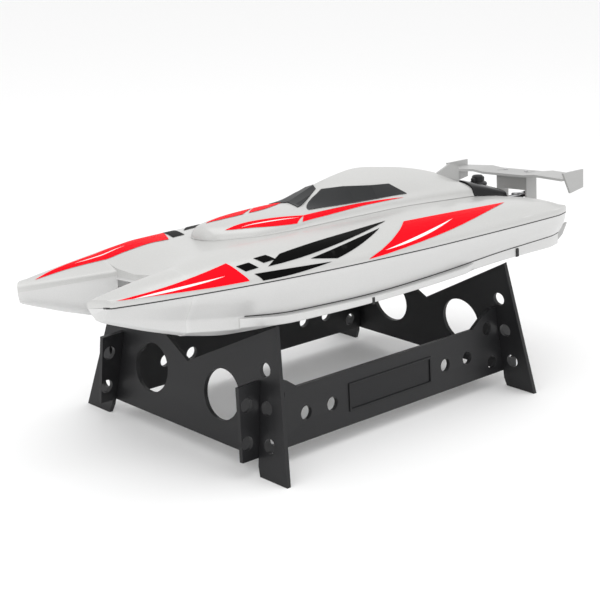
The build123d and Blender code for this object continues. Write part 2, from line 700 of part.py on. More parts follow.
# ---------------------------------------------------------------- stand
def slab(plane, low, high):
    """Wide thin slab in a stand plate's plane, between two heights, a little thicker than the plate."""
    with BuildPart(plane) as cutter:
        with Locations((0, (low + high) / 2, 0)):
            Box(500.0, high - low, plate + plate_play)
    return cutter.part


def cross_plate(plane, lean, notch):
    """Trapezium with a V cradle, two feet, lightening holes and slots for the side plates."""
    stretch = 1 / cos(radians(lean))
    half = [
        (0.0, notch), (plate_top_y - 1.5, plate_top - 1.0), (plate_top_y, plate_top),
        (foot_outer + 0.5, -2.0), (foot_inner + 0.8, -2.0), (foot_inner - 4.5, foot_rise), (0.0, foot_rise),
    ]
    with BuildPart() as body:
        with BuildSketch(plane):
            with BuildLine():
                Polyline(*[(y, z * stretch) for y, z in half], close=True)
            make_face()
            mirror(about=Plane.YZ)
            with Locations((35.8, 42.6 * stretch), (-35.8, 42.6 * stretch)):
                Circle(large_hole, mode=Mode.SUBTRACT)
            for y, z in cross_holes:
                with Locations((y, z * stretch), (-y, z * stretch)):
                    Circle(small_hole, mode=Mode.SUBTRACT)
        extrude(amount=plate / 2, both=True)
        for side_plane in side_planes.values():
            add(slab(side_plane, 0.0, joint_height), mode=Mode.SUBTRACT)
        # the feet are cut flat to stand on the floor
        split(bisect_by=Plane.XY, keep=Keep.TOP)
    return body


def side_plate(plane, outward):
    """Long plate with a lowered waist, lightening holes, a label frame and slots for the cross plates."""
    stretch = 1 / cos(radians(side_lean))
    middle = (front_plate_x + rear_plate_x) / 2
    end = (front_plate_x - rear_plate_x) / 2 + side_tab
    half = [
        (end, foot_rise), (end, side_shoulder - 1.0), (end - 29.0, side_shoulder),
        (end - 41.0, side_waist + 6.0), (end - 50.0, side_waist),
    ]
    outline = [(-middle - x, z * stretch) for x, z in half]
    outline += [(-middle + x, z * stretch) for x, z in reversed(half)]
    with BuildPart() as body:
        with BuildSketch(plane):
            with BuildLine():
                Polyline(*outline, close=True)
            make_face()
            for x, z in side_holes:
                with Locations((-x, z * stretch), (x - 2 * middle, z * stretch)):
                    Circle(small_hole, mode=Mode.SUBTRACT)
        extrude(amount=plate / 2, both=True)
        with BuildSketch(plane.offset(outward * plate / 2)):
            with Locations((-middle, label_height * stretch)):
                Rectangle(label_size[0], label_size[1])
                Rectangle(label_size[0] - 2 * label_rim, label_size[1] - 2 * label_rim, mode=Mode.SUBTRACT)
        extrude(amount=outward * 0.8)
        for cross_plane in (front_plane, rear_plane):
            add(slab(cross_plane, joint_height, plate_top), mode=Mode.SUBTRACT)
    return body


stand_front_plate = cross_plate(front_plane, front_lean, front_notch)
stand_rear_plate = cross_plate(rear_plane, rear_lean, rear_notch)
stand_side_plates = {
    side: side_plate(side_planes[side], outward) for side, outward in (("port", 1), ("starboard", -1))
}

# ---------------------------------------------------------------- assembly
boat_pose = Location((0, boat_shift, datum_height), (boat_roll, 0, 0))
boat_pieces = {
    "hull_bottom": hull_bottom,
    "deck_shell": deck_shell,
    "canopy_hatch": canopy_hatch,
    "hatch_seal": hatch_seal,
    "windshield": windshield,
    "side_window_port": side_windows["port"],
    "side_window_starboard": side_windows["starboard"],
    "dorsal_fin": dorsal_fin,
    "tail_panel_port": tail_panels["port"],
    "tail_panel_starboard": tail_panels["starboard"],
    "lock_knob": lock_knob,
    "rear_wing": rear_wing,
    "end_plate_port": end_plates["port"],
    "end_plate_starboard": end_plates["starboard"],
    "wing_support": wing_support,
    "wing_screws": wing_screws,
    "trim_tab_port": trim_tabs["port"],
    "trim_tab_starboard": trim_tabs["starboard"],
    "motor_case": motor_case,
    "motor_endbell": motor_endbell,
    "motor_mount": motor_mount,
    "motor_screws": motor_screws,
    "motor_rotor": motor_rotor,
    "shaft_coupling": shaft_coupling,
    "propeller_shaft": propeller_shaft,
    "stuffing_tube": stuffing_tube,
    "propeller": propeller,
    "propeller_nut": propeller_nut,
    "rudder_bracket": rudder_bracket,
    "rudder_pin": rudder_pin,
    "rudder_blade": rudder_blade,
    "tiller_arm": tiller_arm,
    "servo_horn": servo_horn,
    "steering_servo": steering_servo,
    "servo_shaft": servo_shaft,
    "servo_screws": servo_screws,
    "pushrod": pushrod,
    "pushrod_grommet": pushrod_grommet,
    "battery_tray": battery_tray,
    "battery_pack": battery_pack,
    "battery_strap": battery_strap,
    "receiver_box": receiver_box,
    "power_switch": power_switch,
    "switch_slider": switch_slider,
}
stand_pieces = {
    "stand_front_plate": stand_front_plate,
    "stand_rear_plate": stand_rear_plate,
    "stand_port_plate": stand_side_plates["port"],
    "stand_starboard_plate": stand_side_plates["starboard"],
}
for piece in boat_pieces.values():
    piece.part.move(boat_pose)
for name, piece in {**boat_pieces, **stand_pieces}.items():
    piece.part.label = name
    export_step(piece.part, f"parts/{name}.step")
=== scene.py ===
"""Looks of the racing boat and its stand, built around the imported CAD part."""

import math

import bmesh
import bpy
import numpy as np
from mathutils import Matrix, Vector
from mathutils.bvhtree import BVHTree


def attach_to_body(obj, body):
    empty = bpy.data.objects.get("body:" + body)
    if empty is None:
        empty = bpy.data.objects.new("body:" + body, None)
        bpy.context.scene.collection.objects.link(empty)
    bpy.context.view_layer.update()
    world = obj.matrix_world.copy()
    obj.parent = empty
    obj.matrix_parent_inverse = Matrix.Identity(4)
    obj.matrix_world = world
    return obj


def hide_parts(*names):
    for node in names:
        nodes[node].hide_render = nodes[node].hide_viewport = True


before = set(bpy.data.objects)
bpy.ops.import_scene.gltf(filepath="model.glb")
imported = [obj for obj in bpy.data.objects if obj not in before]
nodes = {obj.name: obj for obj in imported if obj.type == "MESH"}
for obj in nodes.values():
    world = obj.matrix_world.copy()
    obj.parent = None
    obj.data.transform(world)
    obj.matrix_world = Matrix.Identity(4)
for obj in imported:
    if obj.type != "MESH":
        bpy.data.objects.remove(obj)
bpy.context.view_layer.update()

# -------------------------------------------- the boat's own frame, in mm
BOAT_ROLL = math.radians(4.5)
BOAT_SHIFT = 7.0
DATUM_HEIGHT = 105.8
MM = 0.001
BOAT = (
    Matrix.Translation((0, BOAT_SHIFT * MM, DATUM_HEIGHT * MM))
    @ Matrix.Rotation(BOAT_ROLL, 4, "X")
    @ Matrix.Scale(MM, 4)
)

# hull: x, half beam, seam z, seam z at the middle, strake top, strake foot, keel z, tunnel roof z
HULL = [
    (-184, 74.0, 12, 12, -5, -13, -20, -5),
    (-168, 78.0, 12, 12, -5.2, -12.9, -20.3, -5),
    (-120, 78.8, 12, 12, -6, -12.5, -21, -5),
    (-40, 77.6, 12, 12, -10, -15.5, -22, -4),
    (30, 73.0, 12, 12, -12.5, -18, -22.5, -1),
    (85, 67.2, 12.2, 12.4, -12, -18.5, -22.5, 3),
    (129, 61.8, 12.8, 13.6, -8, -15.5, -20.5, 9),
    (165, 56.5, 13.5, 16.5, -3.5, -11, -14, 14),
]
# bows: x, half beam, seam, inner seam, inner wall y, strake top, strake foot, keel y, keel z
BOWS = [
    (165, 56.5, 13.5, 16.5, 17.6, -3.5, -11, 42, -14),
    (190, 52.3, 14, 15.8, 24.8, 1.5, -3.5, 42, -6),
    (212, 47.9, 14.6, 15.2, 31.2, 7.5, 4.5, 42, 2),
    (227.6, 44.4, 15, 15, 36, 11.5, 10, 41, 8),
]
# deck: x, half beam, heights at the middle and at 3/8, 5/8 and 7/8 of the half beam, seam, middle seam
DECK = [
    (-184, 73.6, 17.6, 17.6, 17.4, 17.0, 12, 12),
    (-178, 75.8, 19.5, 20, 21, 19.4, 12, 12),
    (-168, 78.0, 21, 22, 23, 21.2, 12, 12),
    (-120, 78.8, 26, 26.5, 27.5, 24.5, 12, 12),
    (-40, 77.6, 32.5, 32, 31.3, 27, 12, 12),
    (30, 73.0, 34, 33, 31.5, 27.5, 12, 12),
    (85, 67.2, 33.5, 32.5, 31.8, 28.3, 12.2, 12.4),
    (129, 61.8, 30.5, 31.5, 32, 28, 12.8, 13.6),
    (150, 58.7, 25, 27.5, 30.5, 27, 13.2, 15.3),
    (165, 56.5, 19.3, 21.2, 28.5, 26, 13.5, 16.5),
]
# deck over a bow: x, half beam, inner edge y and z, crown y and z, z at 7/8 of the beam, seam, inner seam
BOW_DECK = [
    (165, 56.5, 17.6, 19.5, 35.3, 28.5, 26, 13.5, 16.5),
    (190, 52.3, 24.8, 19.2, 36.5, 26, 23.6, 14, 15.8),
    (212, 47.9, 31.2, 18.9, 38, 23, 21.5, 14.6, 15.2),
    (227.6, 44.4, 36, 18.6, 38.2, 20.3, 20, 15, 15),
]
# hatch: x, half widths at rim, shoulder, canopy foot and roof edge, their heights, roof height
HATCH = [
    (112, 3.5, 2.8, 2, 1, 27.5, 32.5, 34, 34.8, 35),
    (111, 8, 7, 5, 2.5, 27.3, 34.8, 37.2, 38.2, 38.6),
    (107.5, 13, 11.4, 7.8, 3.8, 26.8, 35.4, 39, 40.8, 41.3),
    (100, 18.5, 16, 10.5, 5, 26, 35.5, 40, 42, 42.5),
    (80, 27.5, 24.5, 15.5, 8, 25, 36, 41, 43, 43.5),
    (50, 31, 28, 18.5, 9, 24, 37, 41.5, 43.6, 44),
    (32, 31.2, 28.2, 19.5, 8, 24, 37.5, 41.5, 43.8, 44.2),
    (6, 31.2, 28.2, 21, 7, 24, 37.5, 41, 51.2, 52.8),
    (-12, 31, 28, 21.5, 12, 24, 37.5, 40.5, 52, 57),
    (-34, 30.2, 27.2, 21.8, 15.5, 24, 37, 39.5, 49.5, 59.3),
    (-65, 28.4, 25.6, 21, 14, 24, 35.5, 38, 47, 56.2),
    (-92, 24.8, 22.2, 18, 11.5, 22, 34, 37, 43.5, 51.8),
    (-120, 20, 18, 14.5, 8.5, 20, 31.5, 34.5, 39, 44.8),
    (-148, 15, 13.5, 11.5, 7.5, 17, 28.5, 30.5, 32.5, 34),
    (-181, 9, 8, 6.5, 4, 13, 21.5, 23, 24, 24.5),
]
LIP = 4.5               # upright edge of the deck above the seam
SEAM_GAP = 0.5          # how far the hull stands inside the deck's edge
STRAKE_INSET = 8.0      # how far the hull's lower wall stands inside its edge
KEEL_Y = 44.0
KEEL_FLAT = 10.0
TUNNEL_HALF = 19.0
TUNNEL_X = 165.0
TRANSOM_X = -184.0
BOW_X = 227.8
BOW_END = 227.5         # last station of the bows
BOW_INNER_Y = 35.8      # where the slant of a bow's front begins
BOW_SLANT = 0.9
SHELL = 1.5             # moulded thickness of hull and deck
HATCH_SHELL = 1.2
HATCH_PLAY = 0.35       # gap between the hatch and the deck under it
OPENING_FRONT = 105.6
OPENING_REAR = -149.6
OPENING_INSET = 6.4     # ledge that carries the hatch
KNOB_X = -171.0
KNOB_BASE = 27.6


# -------------------------------------------- smooth stations
def tangents(xs, ys):
    """Slopes of a curve through the stations that never overshoots them."""
    steps = np.diff(ys, axis=0) / np.diff(xs)[:, None]
    out = np.zeros_like(ys)
    out[0], out[-1] = steps[0], steps[-1]
    for i in range(1, len(xs) - 1):
        a, b = steps[i - 1], steps[i]
        same = a * b > 0
        out[i] = np.where(same, 2 * a * b / np.where(same, a + b, 1), 0)
    return out


def smooth(table, x):
    """Station at x on smooth curves through the table."""
    rows = np.array(sorted(table), float)
    xs, ys = rows[:, 0], rows[:, 1:]
    x = min(max(x, xs[0]), xs[-1])
    i = min(int(np.searchsorted(xs, x, side="right")) - 1, len(xs) - 2)
    m = tangents(xs, ys)
    h = xs[i + 1] - xs[i]
    t = (x - xs[i]) / h
    a = 2 * t**3 - 3 * t**2 + 1
    b = t**3 - 2 * t**2 + t
    c = -2 * t**3 + 3 * t**2
    d = t**3 - t**2
    return a * ys[i] + b * h * m[i] + c * ys[i + 1] + d * h * m[i + 1]


def rounded(points, radii, steps=5):
    """Open polyline with its inner corners rounded, always with the same number of points."""
    out = [points[0]]
    for before, at, after, r in zip(points, points[1:], points[2:], radii):
        p, q, s = (np.array(v, float) for v in (before, at, after))
        u, w = p - q, s - q
        lu, lw = np.linalg.norm(u), np.linalg.norm(w)
        reach = min(r, 0.48 * lu, 0.48 * lw)
        start, end = q + u / max(lu, 1e-6) * reach, q + w / max(lw, 1e-6) * reach
        for k in range(steps + 1):
            t = k / steps
            out.append(tuple((1 - t) ** 2 * start + 2 * t * (1 - t) * q + t * t * end))
    out.append(points[-1])
    return out


def stations(start, end, step):
    count = max(2, int(abs(end - start) / step))
    return [start + (end - start) * k / count for k in range(count + 1)]


# -------------------------------------------- meshes
def new_object(name, verts, faces):
    """Mesh object from points in the boat frame."""
    mesh = bpy.data.meshes.new(name)
    mesh.from_pydata([tuple(v) for v in verts], [], faces)
    mesh.transform(BOAT)
    mesh.validate()
    obj = bpy.data.objects.new(name, mesh)
    bpy.context.scene.collection.objects.link(obj)
    return obj


def fix_normals(obj):
    bm = bmesh.new()
    bm.from_mesh(obj.data)
    bmesh.ops.remove_doubles(bm, verts=bm.verts, dist=2e-6)
    bmesh.ops.recalc_face_normals(bm, faces=bm.faces)
    bm.to_mesh(obj.data)
    bm.free()
    return obj


def shade(obj, angle=35):
    """Smooth shading with crisp edges where faces meet at more than angle degrees."""
    bm = bmesh.new()
    bm.from_mesh(obj.data)
    limit = math.radians(angle)
    for face in bm.faces:
        face.smooth = True
    for edge in bm.edges:
        if len(edge.link_faces) == 2:
            edge.smooth = edge.calc_face_angle(0) < limit
    bm.to_mesh(obj.data)
    bm.free()
    return obj


def apply(obj, kind, **settings):
    modifier = obj.modifiers.new(kind.lower(), kind)
    for key, value in settings.items():
        setattr(modifier, key, value)
    bpy.context.view_layer.objects.active = obj
    bpy.ops.object.modifier_apply(modifier=modifier.name)
    return obj


def cut(obj, cutter):
    apply(obj, "BOOLEAN", object=cutter, operation="DIFFERENCE", solver="EXACT")
    bpy.data.objects.remove(cutter)
    return obj


def grid(name, rows, cap_start=False, cap_end=False):
    """Skin over rows of points, (x, y, z) in the boat frame."""
    n = len(rows[0])
    verts = [p for row in rows for p in row]
    faces = [
        (i * n + j, i * n + j + 1, (i + 1) * n + j + 1, (i + 1) * n + j)
        for i in range(len(rows) - 1) for j in range(n - 1)
    ]
    if cap_start:
        faces.append(tuple(range(n)))
    if cap_end:
        faces.append(tuple((len(rows) - 1) * n + j for j in range(n)))
    return new_object(name, verts, faces)


def prism(name, outline, low, high, axis="z"):
    """Solid with the given outline: (x, y) for axis z, (x, z) for axis y."""
    def lift(p, h):
        return (p[0], p[1], h) if axis == "z" else (p[0], h, p[1])
    n = len(outline)
    verts = [lift(p, low) for p in outline] + [lift(p, high) for p in outline]
    faces = [tuple(range(n)), tuple(range(n, 2 * n))]
    faces += [(i, (i + 1) % n, n + (i + 1) % n, n + i) for i in range(n)]
    return fix_normals(new_object(name, verts, faces))


def join(name, parts):
    """One object from several; the parts are removed."""
    bm = bmesh.new()
    for part in parts:
        bm.from_mesh(part.data)
        bpy.data.objects.remove(part)
    mesh = bpy.data.meshes.new(name)
    bm.to_mesh(mesh)
    bm.free()
    obj = bpy.data.objects.new(name, mesh)
    bpy.context.scene.collection.objects.link(obj)
    return obj


def bevel(obj, width, segments=3, angle=30):
    return apply(
        obj, "BEVEL", width=width * MM, segments=segments, limit_method="ANGLE",
        angle_limit=math.radians(angle),
    )


def both_sides(half):
    """Whole section from its port half, without doubling the middle point."""
    return [(-y, z) for y, z in reversed(half)] + [p for p in half if p[0] > 1e-6]


# -------------------------------------------- sections
INNER_WALL_POINTS = 6    # points of a bow deck's section that lie on its inner wall


def hull_row(x):
    """Section of the hull at x; near the bows it turns into the bows' first section."""
    beam, seam, mid, top, foot, keel, roof = smooth(HULL, x)
    beam -= SEAM_GAP
    near_bow = min(max((x - 100) / (TUNNEL_X - 100), 0.0), 1.0)
    keel_y = KEEL_Y - 2 * near_bow
    tuck = beam - STRAKE_INSET + 0.4 * (1 - near_bow)
    belly = (beam - 2 + near_bow, seam - 9 + near_bow * (9 - 0.3 * (seam - top)))
    half = [
        (0, roof), (TUNNEL_HALF, roof), (KEEL_Y - KEEL_FLAT, keel + 1.5), (keel_y, keel),
        (tuck, foot), (tuck, top), belly, (beam, seam),
    ]
    return [(x, y, z) for y, z in both_sides(rounded(half, (3, 2.5, 2, 0.8, 1.6, 6), 4))]


def bow_row(x, side):
    """Section of one bow at x, from its inner seam round the keel to its outer seam."""
    beam, seam, inner_seam, inner_y, top, foot, keel_y, keel = smooth(BOWS, x)
    beam -= SEAM_GAP
    tuck = min(STRAKE_INSET, (beam - keel_y) * 0.6)
    inner_y += 0.3
    loop = [
        (inner_y, inner_seam), (inner_y + 2, keel + 0.25 * (inner_seam - keel)), (keel_y, keel),
        (beam - tuck, foot), (beam - tuck, top), (beam - 1, seam - 0.3 * (seam - top)), (beam, seam),
    ]
    return [(slanted(x, y), side * y, z) for y, z in rounded(loop, (4, 2.5, 0.8, 1.6, 5), 4)]


def deck_half(x):
    """Port half of the deck's section at x."""
    beam, mid, inner, outer, shoulder, seam, _ = smooth(DECK, x)
    return rounded([
        (0, mid), (beam * 3 / 8, inner), (beam * 5 / 8, outer), (beam * 7 / 8, shoulder),
        (beam - 0.7, seam + LIP + 0.4), (beam, seam + LIP - 1.2), (beam, seam + 0.3),
    ], (14, 12, 7, 1.6, 0.8), 6)


def bow_deck_half(x):
    """Section of the deck over the port bow at x."""
    beam, inner_y, inner_z, crown_y, crown_z, shoulder, seam, inner_seam = smooth(BOW_DECK, x)
    return rounded([
        (inner_y, inner_seam), (inner_y, inner_z), (crown_y, crown_z), (beam * 7 / 8, shoulder),
        (beam - 0.7, seam + LIP + 0.4), (beam, seam + LIP - 1.2), (beam, seam + 0.3),
    ], (1.2, 9, 5, 1.2, 0.6), 6)


def hatch_half(x):
    """Port half of the hatch's section at x."""
    rim, shoulder, foot, edge, rim_z, shoulder_z, foot_z, edge_z, roof = smooth(HATCH, x)
    return rounded([
        (0, roof), (edge, edge_z), (foot, foot_z), (shoulder, shoulder_z), (rim, rim_z),
    ], (6 if x < 0 else 4, 2.2, 3), 6)


def height(half, y):
    """Height of the upper surface at y."""
    ys = [p[0] for p in half]
    top = ys.index(max(ys))
    return float(np.interp(abs(y), ys[:top + 1], [p[1] for p in half[:top + 1]]))


def deck_z(x, y):
    """Height of the deck's upper surface at (x, y)."""
    if x <= TUNNEL_X:
        return height(deck_half(x), y)
    return height(bow_deck_half(x)[INNER_WALL_POINTS:], y)


# -------------------------------------------- node materials
def material(
    name, color, rough=0.4, metal=0.0, grain=0.0, grain_scale=900.0, bump=0.02, coat=0.0, wear=0.06, shine=0.5,
):
    """Coloured surface with slight patches, uneven gloss, fine grain and lighter worn edges."""
    mat = bpy.data.materials.new(name)
    mat.use_nodes = True
    tree = mat.node_tree
    shader = tree.nodes["Principled BSDF"]
    link = tree.links.new
    coords = tree.nodes.new("ShaderNodeTexCoord")
    patches = tree.nodes.new("ShaderNodeTexNoise")
    patches.inputs["Scale"].default_value = 14
    patches.inputs["Detail"].default_value = 6
    fine = tree.nodes.new("ShaderNodeTexNoise")
    fine.inputs["Scale"].default_value = grain_scale
    fine.inputs["Detail"].default_value = 3
    for noise in (patches, fine):
        link(coords.outputs["Object"], noise.inputs["Vector"])
    mix = tree.nodes.new("ShaderNodeMix")
    mix.data_type = "RGBA"
    mix.inputs[6].default_value = (*[c * (1 - wear) for c in color], 1)
    mix.inputs[7].default_value = (*[min(1, c * (1 + wear)) for c in color], 1)
    link(patches.outputs["Fac"], mix.inputs[0])
    speck = tree.nodes.new("ShaderNodeMix")
    speck.data_type = "RGBA"
    speck.blend_type = "OVERLAY"
    speck.inputs[0].default_value = grain
    link(mix.outputs[2], speck.inputs[6])
    link(fine.outputs["Fac"], speck.inputs[7])
    geometry = tree.nodes.new("ShaderNodeNewGeometry")
    edge = tree.nodes.new("ShaderNodeMapRange")
    edge.inputs["From Min"].default_value = 0.52
    edge.inputs["From Max"].default_value = 0.62
    edge.inputs["To Max"].default_value = 0.35
    link(geometry.outputs["Pointiness"], edge.inputs["Value"])
    worn = tree.nodes.new("ShaderNodeMix")
    worn.data_type = "RGBA"
    worn.inputs[7].default_value = (*[min(1, c * 1.25 + 0.02) for c in color], 1)
    link(edge.outputs["Result"], worn.inputs[0])
    link(speck.outputs[2], worn.inputs[6])
    link(worn.outputs[2], shader.inputs["Base Color"])
    gloss = tree.nodes.new("ShaderNodeMapRange")
    gloss.inputs["To Min"].default_value = rough * 0.85
    gloss.inputs["To Max"].default_value = min(1, rough * 1.2)
    link(patches.outputs["Fac"], gloss.inputs["Value"])
    link(gloss.outputs["Result"], shader.inputs["Roughness"])
    relief = tree.nodes.new("ShaderNodeBump")
    relief.inputs["Strength"].default_value = bump
    relief.inputs["Distance"].default_value = 0.0004
    link(fine.outputs["Fac"], relief.inputs["Height"])
    link(relief.outputs["Normal"], shader.inputs["Normal"])
    shader.inputs["Metallic"].default_value = metal
    shader.inputs["Specular IOR Level"].default_value = shine
    shader.inputs["Coat Weight"].default_value = coat
    shader.inputs["Coat Roughness"].default_value = 0.12
    return mat


silver = material(
    "silver lacquer", (0.53, 0.53, 0.52),
    rough=0.36, metal=0.18, grain=0.1, grain_scale=1500, bump=0.04, coat=0.25, wear=0.025,
)
silver_hull = material(
    "silver lacquer hull", (0.6, 0.6, 0.595),
    rough=0.33, metal=0.2, grain=0.1, grain_scale=1500, bump=0.04, coat=0.3, wear=0.03,
)
red = material(
    "red film", (0.92, 0.003, 0.012),
    rough=0.5, metal=0, grain=0.03, grain_scale=1500, bump=0.02, coat=0, wear=0.03, shine=0.04,
)
black_film = material(
    "black film", (0.003, 0.003, 0.003),
    rough=0.5, metal=0, grain=0.03, grain_scale=1500, bump=0.02, coat=0, wear=0.2, shine=0.03,
)
white_film = material(
    "white film", (0.85, 0.85, 0.85),
    rough=0.4, metal=0, grain=0.03, grain_scale=1500, bump=0.02, coat=0, wear=0.02, shine=0.2,
)
glazing = material(
    "smoked window", (0.018, 0.019, 0.02),
    rough=0.35, metal=0, grain=0.1, grain_scale=700, bump=0.04, coat=0, wear=0.2, shine=0.2,
)
gloss_black = material(
    "gloss black", (0.004, 0.004, 0.005),
    rough=0.16, metal=0, grain=0.05, grain_scale=900, bump=0.02, coat=0, wear=0.2, shine=0.3,
)
satin_black = material(
    "satin black", (0.01, 0.01, 0.011),
    rough=0.38, metal=0, grain=0.2, grain_scale=900, bump=0.08, coat=0, wear=0.15, shine=0.3,
)
stand_black = material(
    "stand plastic", (0.006, 0.006, 0.007),
    rough=0.4, metal=0, grain=0.25, grain_scale=1100, bump=0.1, coat=0, wear=0.12, shine=0.3,
)
# Near-black strips and blocks that paint the shade in the deck seam, along the crease above the strakes and
# inside the hull's steps.
painted_shade = material(
    "joint shadow", (0.02, 0.02, 0.02),
    rough=0.8, metal=0, grain=0.1, grain_scale=900, bump=0.05, coat=0, wear=0.1,
)
rubber = material(
    "seal rubber", (0.02, 0.02, 0.02),
    rough=0.7, metal=0, grain=0.3, grain_scale=900, bump=0.2, coat=0, wear=0.1,
)
steel = material(
    "bright steel", (0.55, 0.55, 0.56),
    rough=0.25, metal=1, grain=0.1, grain_scale=2500, bump=0.05, coat=0, wear=0.05,
)
brass = material(
    "turned brass", (0.72, 0.5, 0.19),
    rough=0.28, metal=1, grain=0.1, grain_scale=2500, bump=0.05, coat=0, wear=0.08,
)
prop_red = material(
    "red nylon", (0.6, 0.015, 0.012),
    rough=0.3, metal=0, grain=0.1, grain_scale=900, bump=0.05, coat=0.2, wear=0.05,
)
wrap_blue = material(
    "blue wrap", (0.01, 0.06, 0.35),
    rough=0.3, metal=0, grain=0.05, grain_scale=900, bump=0.05, coat=0.3, wear=0.1,
)
switch_red = material(
    "red slider", (0.55, 0.02, 0.015),
    rough=0.5, metal=0, grain=0.1, grain_scale=900, bump=0.05, coat=0, wear=0.1,
)
wing_grey = material(
    "wing grey", (0.37, 0.37, 0.365),
    rough=0.42, metal=0.1, grain=0.12, grain_scale=1300, bump=0.05, coat=0.1, wear=0.04,
)


def dress(obj, mat):
    """Gives a piece its only material."""
    obj.data.materials.clear()
    obj.data.materials.append(mat)
    return obj


def attach(obj, mat, body):
    """Gives a piece its material and the body that it rides on."""
    dress(obj, mat)
    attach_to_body(obj, body)
    return obj


def settle(obj, mat, body, slot, *replaced):
    """Attaches a piece and hides the CAD nodes it stands for; slot is not used."""
    attach(obj, mat, body)
    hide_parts(*replaced)
    return obj


# -------------------------------------------- hull
def slanted(x, y):
    """Keeps a point behind the slanting front of its bow."""
    return min(x, BOW_X - max(0.0, abs(y) - BOW_INNER_Y) * BOW_SLANT)


def thicken(obj, thickness):
    """Gives a skin its thickness, inwards."""
    return apply(obj, "SOLIDIFY", thickness=thickness * MM, offset=-1, use_even_offset=True)


hull_shell = grid("hull shell", [hull_row(x) for x in stations(TRANSOM_X, TUNNEL_X + 0.5, 4)], cap_start=True)
fix_normals(hull_shell)
bows = []
for side in (1, -1):
    rows = [bow_row(x, side) for x in stations(TUNNEL_X - 0.5, BOW_END, 3)]
    bows.append(fix_normals(grid(f"bow {side}", rows, cap_end=True)))
hull = join("boat_hull", [hull_shell] + bows)
fix_normals(hull)
thicken(hull, SHELL)
shade(hull, 32)
settle(hull, silver_hull, "hull", "silver_plastic", "hull_bottom")

# -------------------------------------------- deck
deck_main = grid(
    "deck main",
    [[(x, y, z) for y, z in both_sides(deck_half(x))] for x in stations(TRANSOM_X, TUNNEL_X, 4)],
    cap_start=True, cap_end=True,
)
fix_normals(deck_main)
fix_normals(thicken(deck_main, SHELL))
opening = [
    (x, max(smooth(HATCH, x)[0] - OPENING_INSET, 1)) for x in stations(OPENING_FRONT, OPENING_REAR, 12)
]
cut(deck_main, prism("hatch opening", opening + [(x, -y) for x, y in reversed(opening)], 5, 60))
bow_decks = []
for side in (1, -1):
    rows = [
        [(slanted(x, y), side * y, z) for y, z in bow_deck_half(x)]
        for x in stations(TUNNEL_X - 0.4, BOW_END, 3)
    ]
    bow_deck = fix_normals(grid(f"deck bow {side}", rows, cap_end=True))
    bow_decks.append(fix_normals(thicken(bow_deck, SHELL)))
deck = join("boat_deck", [deck_main] + bow_decks)
shade(deck, 30)
settle(deck, silver, "hull", "silver_plastic", "deck_shell")

# -------------------------------------------- hatch
def resting_row(x, half, gap):
    """Section of something that lies on the deck: its half section is kept clear of the deck by gap."""
    return [(x, y, z) for y, z in both_sides([(y, max(z, deck_z(x, y) + gap)) for y, z in half])]


hatch = grid(
    "canopy_shell", [resting_row(x, hatch_half(x), HATCH_PLAY) for x in stations(111.8, -180.8, 3)],
    cap_start=True, cap_end=True,
)
fix_normals(hatch)
thicken(hatch, HATCH_SHELL)
shade(hatch, 40)
settle(hatch, silver, "hatch", "silver_plastic", "canopy_hatch")

# -------------------------------------------- lines and rails along both sides of the hull
SEAM_HALF = 0.5          # half height of the shadow line between deck and hull
STRAKE_REAR, STRAKE_FRONT = -78.0, 128.0
STRAKE_DEPTH = 1.6
STRAKE_SWELL = 4.2
CHINE_FRONT = 124.0
NOTCHES = ((-128.0, 0.9), (24.0, 5.0))    # x, how far outside the hull's lower wall
NOTCH_HALF = 1.4
NOTCH_DEPTH = 2.4


def rails(name, mat, xs, section):
    """The same rail along each side of the hull; section(x) gives its (y, z) outline to port."""
    parts = []
    for side in (1, -1):
        rows = []
        for x in xs:
            outline = section(x)
            rows.append([(slanted(x, y), side * y, z) for y, z in outline + outline[:1]])
        parts.append(fix_normals(grid(f"{name} {side}", rows, cap_start=True, cap_end=True)))
    return attach(join(name, parts), mat, "hull")


def seam_section(x):
    if x > TUNNEL_X:
        beam, seam = smooth(BOWS, x)[:2]
    else:
        beam, seam = smooth(DECK, x)[0], smooth(HULL, x)[1]
    low, high = seam - SEAM_HALF, seam + SEAM_HALF
    return [(beam - 1.6, low), (beam - 0.15, low), (beam - 0.15, high), (beam - 1.6, high)]


def strake_section(x):
    beam, _, _, top, foot, _, _ = smooth(HULL, x)
    inner = beam - STRAKE_INSET - 1.0
    fade = min(1.0, (x - STRAKE_REAR + 1) / 12, (STRAKE_FRONT + 1 - x) / 24)
    outer = inner + STRAKE_DEPTH + STRAKE_SWELL * fade
    corners = [(inner, top - 0.2), (outer, top - 0.6), (outer, foot + 1.0), (inner, foot - 0.4)]
    return rounded(corners, (0.8, 0.8), 3)


# The chine line is a painted shadow: a dark strip along the crease where the hull's side meets its lower wall,
# over the strakes' tops.
def chine_section(x):
    beam, _, _, top, _, _, _ = smooth(HULL, x)
    wall = beam - STRAKE_INSET + 0.1
    return [(wall - 1, top + 0.2), (wall + 0.35, top + 0.2), (wall + 0.6, top + 0.8), (wall - 1, top + 0.8)]


seam_stations = stations(TRANSOM_X, TUNNEL_X, 6) + stations(TUNNEL_X + 3, 227.4, 3)
rails("seam_line", painted_shade, seam_stations, seam_section)
shade(rails("hull_strakes", silver_hull, stations(STRAKE_REAR, STRAKE_FRONT, 6), strake_section), 40)
rails("chine_line", painted_shade, stations(TRANSOM_X + 0.6, CHINE_FRONT, 6), chine_section)

